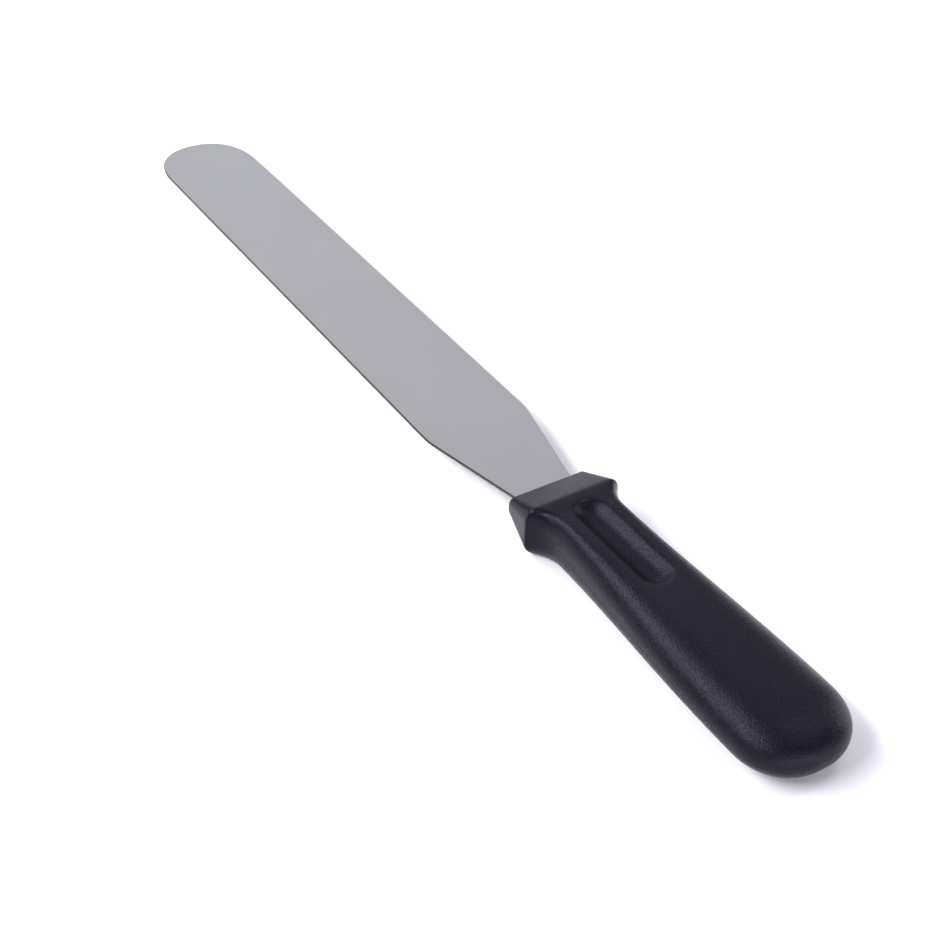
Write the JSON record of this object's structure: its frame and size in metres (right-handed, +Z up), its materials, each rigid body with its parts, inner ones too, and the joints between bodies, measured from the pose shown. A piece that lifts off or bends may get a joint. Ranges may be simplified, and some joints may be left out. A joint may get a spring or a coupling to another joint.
{
  "type": "straight icing spatula",
  "caption": "Long flat steel blade with a rounded end and a tapered neck, its tang moulded into a black plastic grip with a flared bolster and a shallow thumb hollow on each face.",
  "frame": {"origin": "under the middle of the whole knife, level with the flat underside of the handle", "axes": "+X from the handle to the blade's tip, +Y to the left when looking along +X, +Z up out of the blade's flat face"},
  "size_m": [0.368, 0.035, 0.0164],
  "materials": {
    "steel": "satin stainless steel, finely brushed along the blade",
    "plastic": "black moulded plastic, fine leather grain on the grip, smooth satin bolster"
  },
  "bodies": {
    "root": {"blade": "steel", "handle": "plastic"}
  },
  "joints": []
}
